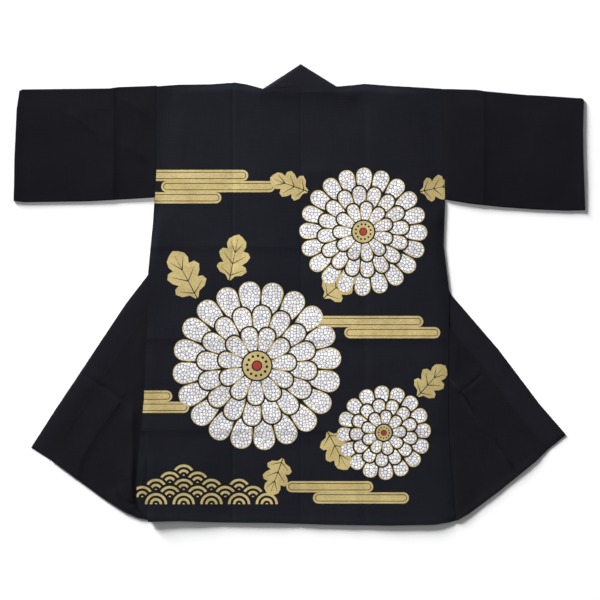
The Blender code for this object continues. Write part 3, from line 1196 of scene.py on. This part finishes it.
def curl(points: Rows, line: Rows) -> Rows:
    """Lets the cloth stand a little off the surface along a free hem, unevenly."""
    distance, _, along = measured(points, line)
    uneven = wavering(along, 0.25, (47.0, 19.0), (0.8, 0.0))
    return HEM_CURL * uneven * np.exp(-((distance / HEM_CURL_REACH) ** 1.5))


def hem_rise(points: Rows, line: Rows) -> Rows:
    """Raises the turned-up band along a hem and dips the cloth at its row of stitches."""
    distance = measured(points, line)[0]
    band = HEM_RISE * (1.0 - eased((distance - HEM_DEPTH) / HEM_STEP))
    return band - STITCH_DIP * np.exp(-(((distance - STITCH_DEPTH) / STITCH_DIP_REACH) ** 2))


def sideways(line: Rows, distance: float) -> Rows:
    """Moves an open line to its left hand by a distance, and divides it closely."""
    fine = divided(line, EDGE_STEP)
    return fine + left_hand(np.gradient(fine, axis=0)) * distance


@dataclass
class Stitching:
    """Rows of running stitches, each stitch a short thread that lies on the cloth."""

    name: str
    thread: Material
    slot: str
    pitch: float = 5.0
    length: float = 3.4
    width: float = 0.55
    sink: float = 0.15
    rows: list[Rows] = field(default_factory=list)

    def add_row(self, line: Rows, heights: Rows) -> None:
        """Adds one row of stitches on a line whose points have the given heights."""
        self.rows.append(np.column_stack((line, heights - self.sink)))

    def tree(self) -> NodeTree:
        """Builds the Geometry Nodes tree that sets one stitch at each step of each row."""
        tree = bpy.data.node_groups.new("running_stitches", "GeometryNodeTree")
        sockets = (
            ("Geometry", "NodeSocketGeometry"), ("Pitch", "NodeSocketFloat"),
            ("Length", "NodeSocketFloat"), ("Width", "NodeSocketFloat"),
            ("Thread", "NodeSocketMaterial"),
        )
        for name, kind in sockets:
            tree.interface.new_socket(name, in_out="INPUT", socket_type=kind)
        tree.interface.new_socket("Geometry", in_out="OUTPUT", socket_type="NodeSocketGeometry")
        given = add_node(tree, "NodeGroupInput").outputs
        rows = add_node(tree, "GeometryNodeResampleCurve", {"mode": "LENGTH"},
                        {"Curve": given["Geometry"], "Length": given["Pitch"]})
        tangent = add_node(tree, "GeometryNodeInputTangent")
        aligned = add_node(tree, "FunctionNodeAlignRotationToVector", {"axis": "X"},
                           {"Vector": tangent.outputs["Tangent"]})
        one = add_node(tree, "GeometryNodeMeshUVSphere",
                       inputs={"Segments": 8, "Rings": 5, "Radius": 0.5})
        size = add_node(tree, "ShaderNodeCombineXYZ", inputs={
            "X": given["Length"], "Y": given["Width"], "Z": given["Width"],
        })
        placed = add_node(tree, "GeometryNodeInstanceOnPoints", inputs={
            "Points": rows.outputs["Curve"], "Instance": one.outputs["Mesh"],
            "Rotation": aligned.outputs["Rotation"], "Scale": size.outputs["Vector"],
        })
        real = add_node(tree, "GeometryNodeRealizeInstances",
                        inputs={"Geometry": placed.outputs["Instances"]})
        dyed = add_node(tree, "GeometryNodeSetMaterial", inputs={
            "Geometry": real.outputs["Geometry"], "Material": given["Thread"],
        })
        add_node(tree, "NodeGroupOutput", inputs={"Geometry": dyed.outputs["Geometry"]})
        return tree

    def build(self) -> Object:
        """Makes the rows as one plain mesh, and returns the finished piece."""
        curve = bpy.data.curves.new(self.name + "_rows", "CURVE")
        curve.dimensions = "3D"
        for row in self.rows:
            spline = curve.splines.new("POLY")
            spline.points.add(len(row) - 1)
            spline.points.foreach_set("co", np.column_stack((row * MM, np.ones(len(row)))).ravel())
        path = put(self.name + "_rows", curve)
        modifier = path.modifiers.new("Stitches", "NODES")
        modifier.node_group = self.tree()
        values = {
            "Pitch": self.pitch * MM, "Length": self.length * MM, "Width": self.width * MM,
            "Thread": self.thread,
        }
        for socket in modifier.node_group.interface.items_tree:
            if socket.in_out == "INPUT" and socket.name in values:
                modifier[socket.identifier] = values[socket.name]
        graph = bpy.context.evaluated_depsgraph_get()
        mesh = bpy.data.meshes.new_from_object(path.evaluated_get(graph))
        bpy.data.objects.remove(path, do_unlink=True)
        bpy.data.curves.remove(curve)
        mesh.name = self.name
        mesh.shade_smooth()
        piece = put(self.name, mesh)
        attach(piece, "root")
        LOG.info("%s: %d faces", piece.name, len(mesh.polygons))
        return piece


@dataclass
class ClothPiece:
    """What the coat's pieces of cloth share: a solid to lie on, creases, and a row of stitches.

    The finishes are those of the inks in order, then the inner side's. The flat size is in metres.
    """

    side: Side
    materials: dict[str, Material]
    stitching: Stitching
    creases: tuple[Crease, ...]
    part: str = ""
    finishes: tuple[str, ...] = ()
    flat: tuple[float, float] = (0.0, 0.0)
    held: str = "folded"
    wall: float = WALL
    stitch_rise: float = 0.0

    def __post_init__(self) -> None:
        """Reads the solid and the outline of its highest layer."""
        self.node = f"{self.part}_{self.side.word}"
        self.rests_on: list[str] = []
        self.solid = Solid(self.node)
        self.outline = self.solid.outline()

    def creased(self, points: Rows, heights: Rows) -> Rows:
        """Adds the lift of each crease to the points' heights."""
        return sum((crease.lift(points) for crease in self.creases), start=heights)

    def sewn_at(self, points: Rows) -> Rows:
        """Says which points of a row of stitches lie on the cloth that shows."""
        return inside(points, self.outline)

    def flat_tube(self) -> tuple[Plan, Skin]:
        """Lays a flat lower layer and the upper layer over the same plan."""
        plan = Plan([self.outline], self.creases)
        skin = Skin()
        skin.add_layer(plan, np.zeros(len(plan.points)), "lower", upward=False)
        skin.add_layer(plan, self.heights(plan.points), "upper")
        return plan, skin

    def finished(self, skin: Skin, row: Rows) -> Object:
        """Makes the shell and its row of stitches, and puts it in the place of its node.

        Args:
            skin: The skin of the shell.
            row: The line of the stitches.
        Returns:
            The finished piece.
        """
        materials = [self.materials[name] for name in self.finishes]
        piece = skin.shell(f"cloth_{self.node}", materials, self.wall)
        row = row[self.sewn_at(row)]
        self.stitching.add_row(row, self.heights(row) + self.stitch_rise)
        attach(piece, "root")
        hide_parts(self.node)
        LOG.info("%s: %d faces", piece.name, len(piece.data.polygons))
        return piece


@dataclass
class BackPanel(ClothPiece):
    """One half of the printed back, which lies over everything else."""

    part: str = "back"
    finishes: tuple[str, ...] = (
        "black_cotton_back", "white_pebble_print", "gold_pigment_print", "red_pigment_print",
        "black_cotton_wrong_side",
    )
    flat: tuple[float, float] = (0.335, 0.985)
    held: str = "laid"
    shapes: tuple[Shape, ...] = ()
    slack: Slack = Slack(0.3, 12)
    close_blur: float = 4.0
    loose_spread: float = 90.0
    loose_blur: float = 40.0
    hem_span: float = 12.0
    sides_from: float = 250.0
    shoulder_from: float = 440.0
    neck_half: float = 86.0
    seam_lift: Fade = Fade(0.8, 28.0)
    edge_reaches: tuple[float, float, float] = (17.0, 60.0, 16.0)
    pressed_height: float = 1.45
    pressed: Fade = Fade(1.0, 20.0)
    pressed_ease: float = 60.0

    def __post_init__(self) -> None:
        """Reads the heights of what the panel lies on, and finds its hem and its seams."""
        super().__post_init__()
        self.rests_on = [f"cloth_front_{self.side.word}"]
        self.loose = HeightField(self.solid, self.loose_spread, self.loose_blur)
        self.close = HeightField(self.solid, 0.0, self.close_blur)
        lowest = self.outline[:, 1].min()
        self.hem = in_order(self.outline, self.outline[:, 1] < lowest + self.hem_span)
        after = np.roll(self.outline, -1, axis=0)
        x, y = ((self.outline + after) / 2).T
        run, climb = np.abs(after - self.outline).T
        outer = (climb > run) & (np.abs(x) > self.sides_from)
        shoulder = (y > self.shoulder_from) & (np.abs(x - CENTRE_SEAM_X) > self.neck_half) & ~outer
        stretches = np.stack((self.outline, after), axis=1)
        self.seams = [list(stretches[chosen]) for chosen in (
            outer & (y < ARMHOLE_FOOT_Y), outer & (y > ARMHOLE_FOOT_Y), shoulder,
        )]

    def heights(self, points: Rows) -> Rows:
        """Gives the upper face at each point: settled at its seams and edges, and loose inside."""
        near = [nearest(points, seam) for seam in self.seams]
        near_side, near_armhole = near[:2]
        loose = math.prod(eased(far / reach) for far, reach in zip(near, self.edge_reaches))
        heights = self.close.at(points) * (1.0 - loose) + self.loose.at(points) * loose
        if self.side is Side.LEFT:
            heights += self.seam_lift.at(near_side) + self.seam_lift.at(near_armhole)
        heights = self.creased(points, heights + self.slack.lift(points))
        heights += EDGE_ROLL.at(measured(points, ring(self.outline))[0])
        heights += hem_rise(points, self.hem) + curl(points, self.hem)
        if self.side is Side.LEFT:
            return heights + SEAM_DIP.at(np.abs(points[:, 0] - CENTRE_SEAM_X))
        low = eased((ARMHOLE_FOOT_Y - points[:, 1]) / self.pressed_ease)
        heights += (self.pressed_height - heights) * (self.pressed.at(near_side) * low)
        return heights + SEAM_DIP.at(near_armhole)

    def build(self) -> Object:
        """Makes the panel and returns the finished piece."""
        plan = Plan([self.outline], self.creases, self.shapes)
        skin = Skin()
        skin.add_layer(plan, self.heights(plan.points), "upper")
        return self.finished(skin, sideways(self.hem, STITCH_DEPTH))


@dataclass
class FrontPanel(ClothPiece):
    """One front, folded on a slant, with its free part turned outward under the rest."""

    part: str = "front"
    finishes: tuple[str, ...] = ("black_cotton_front", "black_cotton_front")
    flat: tuple[float, float] = (0.258, 0.98)
    stitch_rise: float = WALL
    quiet: float = 12.0
    inset: float = 9.0
    hem_span: float = 145.0
    ramps: tuple[float, float] = (0.1, 0.7)
    ramp_reach: float = 60.0
    upper_blur: float = 6.0

    def __post_init__(self) -> None:
        """Finds the fold, the outline of the free part, and its hem."""
        super().__post_init__()
        self.slack = Slack(0.35, 21 + self.side.value)
        self.ramp = Fade(self.ramps[self.side is Side.RIGHT], self.ramp_reach)
        self.fold = self.longest_stretch(self.outline)
        self.free = self.with_ends(self.solid.outline(top=False), self.fold)
        self.hem = in_order(self.free, self.free[:, 1] < self.fold[:, 1].min() + self.hem_span)

    def sewn_at(self, points: Rows) -> Rows:
        """Says which points of a row of stitches lie on the free part, beside the rest."""
        return inside(points, self.free) & ~inside(points, self.outline)

    def heights(self, points: Rows) -> Rows:
        """Gives the free part's height at each point: flat under the rest, and loose beside it."""
        clear = np.where(inside(points, self.outline), 0.0, measured(points, ring(self.outline))[0])
        edge = measured(points, ring(self.free))[0]
        lift = self.creased(points, self.slack.lift(points) * eased(edge / SLACK_MARGIN))
        lift += EDGE_ROLL.at(edge)
        lift += curl(points, self.hem) + hem_rise(points, self.hem)
        return np.maximum(lift, 0.0) * eased(clear / self.quiet) + self.ramp.at(clear)

    def build(self) -> Object:
        """Makes the front, whose two layers are joined by a bend along the fold."""
        upper = self.with_ends(grown(self.outline, -self.inset), self.fold)
        plan = Plan([self.free, upper], self.creases)
        over = HeightField(self.solid, 0.0, self.upper_blur)
        skin = Skin()
        skin.add_layer(plan, self.heights(plan.points), "lower", 0, upward=False)
        skin.add_layer(plan, over.at(plan.points), "upper", 1)
        bulge = left_hand((self.fold[1] - self.fold[0])[None])[0]
        if bulge[0] * self.side.value > 0:
            bulge = -bulge
        skin.add_bend(plan.chain(*self.fold), bulge)
        return self.finished(skin, sideways(self.hem, STITCH_DEPTH))

    @staticmethod
    def longest_stretch(outline: Rows) -> Rows:
        """Finds the two ends of an outline's longest straight stretch, which is the fold."""
        after = np.roll(outline, -1, axis=0)
        longest = int(np.argmax(np.hypot(*(after - outline).T)))
        return np.array((outline[longest], after[longest]))

    @staticmethod
    def with_ends(outline: Rows, fold: Rows) -> Rows:
        """Moves the ends of an outline's own longest stretch onto the fold."""
        moved = outline.copy()
        for end in FrontPanel.longest_stretch(outline):
            k = int(np.argmin(np.hypot(*(outline - end).T)))
            moved[k] = fold[int(np.argmin(np.hypot(*(fold - end).T)))]
        return moved


@dataclass
class Sleeve(ClothPiece):
    """One sleeve: a flat tube folded along the top and closed along the underarm."""

    part: str = "sleeve"
    finishes: tuple[str, ...] = ("black_cotton_sleeve", "black_cotton_wrong_side")
    flat: tuple[float, float] = (0.50, 0.32)
    end_span: float = 12.0
    ease: float = 0.12
    least: float = 2.1 * WALL
    left_lift: Fade = Fade(0.8, 50.0)
    right_swell: float = 0.5
    right_reach: float = 40.0

    def __post_init__(self) -> None:
        """Reads the heights of the solid, and finds the ends at the armhole and at the cuff."""
        super().__post_init__()
        self.slack = Slack(0.3, 31 + self.side.value)
        self.own = HeightField(self.solid)
        out = np.abs(self.outline[:, 0])
        self.armhole = in_order(self.outline, out < out.min() + self.end_span, 1)
        self.cuff = in_order(self.outline, out > out.max() - self.end_span, 1)

    def heights(self, points: Rows) -> Rows:
        """Gives the upper layer's height at each point."""
        from_body = measured(points, self.armhole)[0]
        heights = np.maximum(self.own.at(points) + self.ease, self.least)
        if self.side is Side.LEFT:
            heights += self.left_lift.at(from_body)
            heights += SEAM_DIP.at(from_body)
        else:
            far = from_body / self.right_reach
            heights += self.right_swell * far * np.exp(1.0 - far)
        edge = measured(points, ring(self.outline))[0]
        heights += self.slack.lift(points) * eased(edge / SLACK_MARGIN)
        return self.creased(points, heights) + EDGE_ROLL.at(from_body) + hem_rise(points, self.cuff)

    def build(self) -> Object:
        """Makes the sleeve, whose layers are joined by bends along the top and the underarm."""
        plan, skin = self.flat_tube()
        for start, end in zip(self.outline, np.roll(self.outline, -1, axis=0)):
            run, climb = np.abs(end - start)
            if run > climb:
                skin.add_bend(plan.chain(start, end), -left_hand((end - start)[None])[0])
        return self.finished(skin, sideways(self.cuff, STITCH_DEPTH * self.side.value))


@dataclass
class CollarBand(ClothPiece):
    """One half of the collar band, a strip folded in four that lies on the surface."""

    part: str = "collar"
    finishes: tuple[str, ...] = ("black_cotton_collar",)
    flat: tuple[float, float] = (0.0515, 1.09)
    wall: float = 0.0
    slack: Slack = Slack(0.25, 41, 60.0, 180.0)
    slack_margin: float = 12.0
    fold_height: float = 0.45
    fold_reach: float = 1.8
    seam_height: float = 0.64
    seam_reach: float = 30.0
    neck_rise: float = 2.2
    neck_reach: float = 52.0
    neck_foot: float = 8.0
    stitch_inset: float = 2.4

    def __post_init__(self) -> None:
        """Finds the folded and the sewn edge, from the centre back to the hem, and the end."""
        super().__post_init__()
        mirror = (-self.side.value, 1)
        work = self.outline[::-self.side.value] * mirror
        work = np.roll(work, -int(np.argmax(work[:, 1])), axis=0)
        tip = int(np.argmin(work[:, 0]))
        self.folded, self.sewn = work[:tip + 1] * mirror, work[:tip:-1] * mirror
        self.end = np.array((self.folded[-1], self.sewn[-1]))

    def heights(self, points: Rows) -> Rows:
        """Gives the upper face's height at each point: round at the fold, and risen at the neck."""
        near_fold = nearest(points, [self.folded, self.end])
        near_seam = measured(points, self.sewn)[0]
        full = COLLAR_WALL - self.seam_height
        full = self.seam_height + full * eased(near_seam / self.seam_reach)
        free = eased(np.minimum(near_fold, near_seam) / self.slack_margin)
        full += self.slack.lift(points) * free
        from_neck = points[:, 1] - SHOULDER_Y
        peak = np.where(from_neck > -self.neck_foot / 2, 1.0 - from_neck / self.neck_reach,
                        1.5 + from_neck / self.neck_foot)
        full += self.neck_rise * np.clip(peak, 0.0, 1.0)
        full = self.creased(points, full)
        share = np.sqrt(1.0 - (1.0 - np.clip(near_fold / self.fold_reach, 0.0, 1.0)) ** 2)
        return self.fold_height + (full - self.fold_height) * share

    def build(self) -> Object:
        """Makes the band, whose two layers are joined by a wall all round."""
        plan, skin = self.flat_tube()
        corners = ((0, "lower"), (1, "lower"), (1, "upper"), (0, "upper"))
        for ends in zip(self.outline, np.roll(self.outline, -1, axis=0)):
            chain = plan.chain(*ends)
            for stretch in zip(chain, chain[1:]):
                skin.faces.append([skin.numbers[stretch[k], layer] for k, layer in corners])
                skin.inks.append(0)
        return self.finished(skin, sideways(self.sewn, self.stitch_inset * self.side.value))


@dataclass
class Studio:
    """The surface, the light and the camera."""

    view_centre: tuple[float, float] = (1.4, -11.5)
    view_width: float = 1344.0
    camera_height: float = 6000.0
    sensor: float = 36.0
    sun_elevation: float = 5.6
    sun_azimuth: float = 128.0
    sun_angle: float = 14.0
    sun_strength: float = 31.4
    sky: float = 0.2
    lamp_place: tuple[float, float, float] = (-105.0, 225.0, 470.0)
    lamp_size: float = 300.0
    lamp_power: float = 0.68

    def build(self) -> None:
        """Sets up the studio."""
        self.make_surface()
        self.make_light()
        self.make_camera()

    def make_surface(self) -> None:
        """Makes the pale surface just under the coat, of matt paper with hardly any grain."""
        size, low = 40.0, -0.0002
        mesh = bpy.data.meshes.new("pale_surface")
        mesh.from_pydata(
            [(-size, -size, low), (size, -size, low), (size, size, low), (-size, size, low)],
            [], [(0, 1, 2, 3)],
        )
        paper = FineGrain("pale_studio_surface", "#F4F4F4", "#F1F1F2", 40.0, 0.95, 0.0)
        mesh.materials.append(paper.material())
        put("pale_surface", mesh)

    def make_light(self) -> None:
        """Makes a low, broad key light from the upper left, a soft lamp over the back and a sky."""
        sun = bpy.data.lights.new("key", "SUN")
        sun.energy = self.sun_strength
        sun.angle = math.radians(self.sun_angle)
        up, turn = math.radians(self.sun_elevation), math.radians(self.sun_azimuth)
        towards = Vector((
            math.cos(turn) * math.cos(up), math.sin(turn) * math.cos(up), math.sin(up),
        ))
        put("key", sun).rotation_euler = towards.to_track_quat("Z", "Y").to_euler()
        soft = bpy.data.lights.new("lamp", "AREA")
        soft.shape = "DISK"
        soft.size = self.lamp_size * MM
        soft.energy = self.lamp_power
        lamp = put("lamp", soft)
        lamp.location = tuple(v * MM for v in self.lamp_place)
        lamp.visible_camera = False
        world = bpy.data.worlds.new("studio")
        world.use_nodes = True
        sky = world.node_tree.nodes["Background"].inputs
        sky["Color"].default_value = (1.0, 1.0, 1.0, 1.0)
        sky["Strength"].default_value = self.sky
        bpy.context.scene.world = world

    def make_camera(self) -> None:
        """Sets the camera straight above the coat, far off with a long lens."""
        data = bpy.data.cameras.new("camera")
        data.sensor_width = self.sensor
        data.lens = self.sensor * self.camera_height / self.view_width
        data.clip_end = 100.0
        scene = bpy.context.scene
        scene.camera = put("camera", data)
        scene.camera.location = tuple(v * MM for v in (*self.view_centre, self.camera_height))
        scene.view_settings.view_transform = "Standard"
        scene.view_settings.look = "None"


BACK_CREASES = (
    Crease(((-151, -30), (-151, 990)), 1.1, 42, 60, phase=0.4, reach=320.0),
    Crease(((-152, -30), (-152, 990)), 0.3, 4, 5, phase=1.4),
    Crease(((-344, 815), (-342, 992)), 0.6, 7, 7, fade=30.0),
    Crease(((144, -30), (144, 990)), 0.5, 12, 24, phase=0.9),
    Crease(((-360, 766), (350, 766)), 0.5, 26, 9, Fold.RIDGE, phase=1.0),
    Crease(((-350, 562), (350, 562)), 0.5, 26, 9, Fold.RIDGE, phase=2.0),
    Crease(((-345, 356), (340, 356)), 0.55, 26, 10, Fold.RIDGE, phase=0.2),
    Crease(((-118, 6), (-60, 7), (-20, 10), (60, 8), (101, 13), (134, 28)),
           1.1, 25, 17, Fold.RIDGE, 36.0),
    Crease(((2, 186), (74, 188)), 0.4, 20, 8, Fold.RIDGE, 16.0),
    Crease(((222, 188), (249, 260), (285, 356)), 0.5, 12, 12, Fold.RIDGE, 30.0),
)
FLAP_CREASES = {
    Side.LEFT: (
        Crease(((-402, 699), (-450, 762), (-476, 804), (-494, 838), (-502, 880)),
               0.5, 8, 24, Fold.RIDGE, 12.0, 0.5),
        Crease(((-505, 632), (-441, 670), (-396, 699)), 0.8, 6, 9, fade=12.0),
        Crease(((-378, 690), (-377, 800), (-378, 890), (-370, 945)), 1.3, 9, 34, Fold.RIDGE, 50.0),
        Crease(((-414, 890), (-395, 924), (-364, 937)), 0.7, 6, 6, fade=14.0),
    ),
    Side.RIGHT: (
        Crease(((321, 638), (361, 687), (386, 731), (430, 786), (452, 818), (487, 866)),
               2.1, 3, 3, Fold.RIDGE, 52.0),
        Crease(((411, 638), (364, 676), (357, 690)), 0.45, 5, 5, fade=16.0),
        Crease(((344, 545), (350, 610), (336, 655)), 0.3, 8, 12, Fold.RIDGE, 40.0),
    ),
}
SLEEVE_CREASES = {
    Side.LEFT: (
        Crease(((-418, -20), (-420, 270)), 0.55, 5, 36, Fold.RIDGE, phase=0.7),
        Crease(((-530, 46), (-470, 92), (-424, 142)), 0.9, 15, 8, Fold.RIDGE, 36.0),
        Crease(((-420, 10), (-326, 72)), 0.75, 14, 10, Fold.RIDGE, 42.0),
        Crease(((-418, 112), (-328, 170)), 0.7, 14, 10, Fold.RIDGE, 42.0),
    ),
    Side.RIGHT: (
        Crease(((410, -20), (410, 290)), 0.4, 3.5, 30, Fold.RIDGE, phase=1.7),
    ),
}
COLLAR_CREASES = {
    Side.LEFT: (Crease(((-512, 628), (-505, 632), (-441, 670)), 0.6, 6, 9, fade=4.0),),
    Side.RIGHT: (),
}


def main() -> None:
    """Builds the coat, piece by piece, and its studio."""
    logging.basicConfig(level=logging.INFO, format="%(message)s")
    Studio().build()
    materials = {finish.name: finish.material() for finish in FINISHES}
    shapes = PrintedDesign().shapes()
    LOG.info("print: %d shapes", len(shapes))
    hem, front_hem, cuff, collar = stitchings = [
        Stitching(name, materials["black_sewing_thread"], slot, pitch) for name, slot, pitch in (
            ("hem_stitches", "back_cotton", 5.0), ("front_hem_stitches", "front_cotton", 5.0),
            ("cuff_stitches", "sleeve_cotton", 5.0), ("collar_stitches", "collar_cotton", 4.2),
        )
    ]
    for side in Side:
        FrontPanel(side, materials, front_hem, FLAP_CREASES[side]).build()
        BackPanel(side, materials, hem, BACK_CREASES, shapes=shapes).build()
        CollarBand(side, materials, collar, COLLAR_CREASES[side]).build()
        Sleeve(side, materials, cuff, SLEEVE_CREASES[side]).build()
    for stitching in stitchings:
        stitching.build()


if __name__ == "__main__":
    main()
